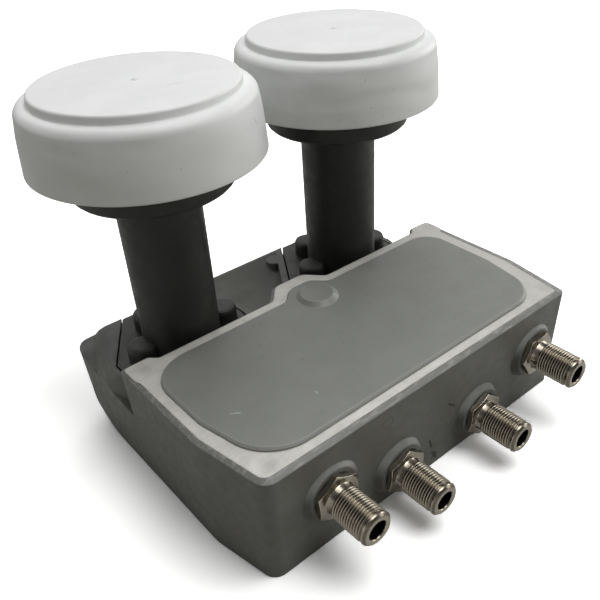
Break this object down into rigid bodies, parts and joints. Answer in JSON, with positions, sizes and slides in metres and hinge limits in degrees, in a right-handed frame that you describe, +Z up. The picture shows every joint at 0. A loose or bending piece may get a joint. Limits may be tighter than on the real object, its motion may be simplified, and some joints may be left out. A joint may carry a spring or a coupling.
{
  "type": "satellite lnb",
  "caption": "Twin-feed satellite LNB: a die-cast block with a sealed lid and a row of F outputs, and two necks with round white caps.",
  "frame": {"origin": "on the underside of the block, midway between the two neck axes", "axes": "+X along the row of connectors, -Y the way the connectors point, +Z up along the necks"},
  "size_m": [0.1254, 0.1167, 0.106],
  "materials": {
    "housing_paint": "matt dark grey paint on a die casting",
    "horn_paint": "matt dark grey paint on a die casting",
    "lid_paint": "matt mid grey paint on pressed sheet",
    "sealant": "light grey poured compound, satin",
    "cap_plastic": "white moulded plastic with a fine grain",
    "nickel_plating": "nickel-plated brass, turned",
    "insulator_plastic": "dark moulded plastic",
    "contact_brass": "tinned spring brass",
    "seal_rubber": "black rubber",
    "screw_steel": "zinc-plated steel",
    "board_laminate": "green high-frequency laminate",
    "cover_tinplate": "bright tinplate",
    "package_plastic": "black moulded packages"
  },
  "bodies": {
    "root": {"housing": "housing_paint", "lid": "lid_paint", "lid_screws": "screw_steel", "lid_sealant": "sealant", "left_horn": "horn_paint", "right_horn": "horn_paint", "horn_screws": "screw_steel", "left_horn_gasket": "seal_rubber", "right_horn_gasket": "seal_rubber", "left_cap": "cap_plastic", "right_cap": "cap_plastic", "left_cap_seal": "seal_rubber", "right_cap_seal": "seal_rubber", "connector_seals": "seal_rubber", "circuit_board": "board_laminate", "board_screws": "screw_steel", "screening_cover": "cover_tinplate", "board_components": "package_plastic", "left_probes": "contact_brass", "right_probes": "contact_brass", "connector_shell_1": "nickel_plating", "connector_insulator_1": "insulator_plastic", "connector_contact_1": "contact_brass", "connector_shell_2": "nickel_plating", "connector_insulator_2": "insulator_plastic", "connector_contact_2": "contact_brass", "connector_shell_3": "nickel_plating", "connector_insulator_3": "insulator_plastic", "connector_contact_3": "contact_brass", "connector_shell_4": "nickel_plating", "connector_insulator_4": "insulator_plastic", "connector_contact_4": "contact_brass"}
  },
  "joints": []
}
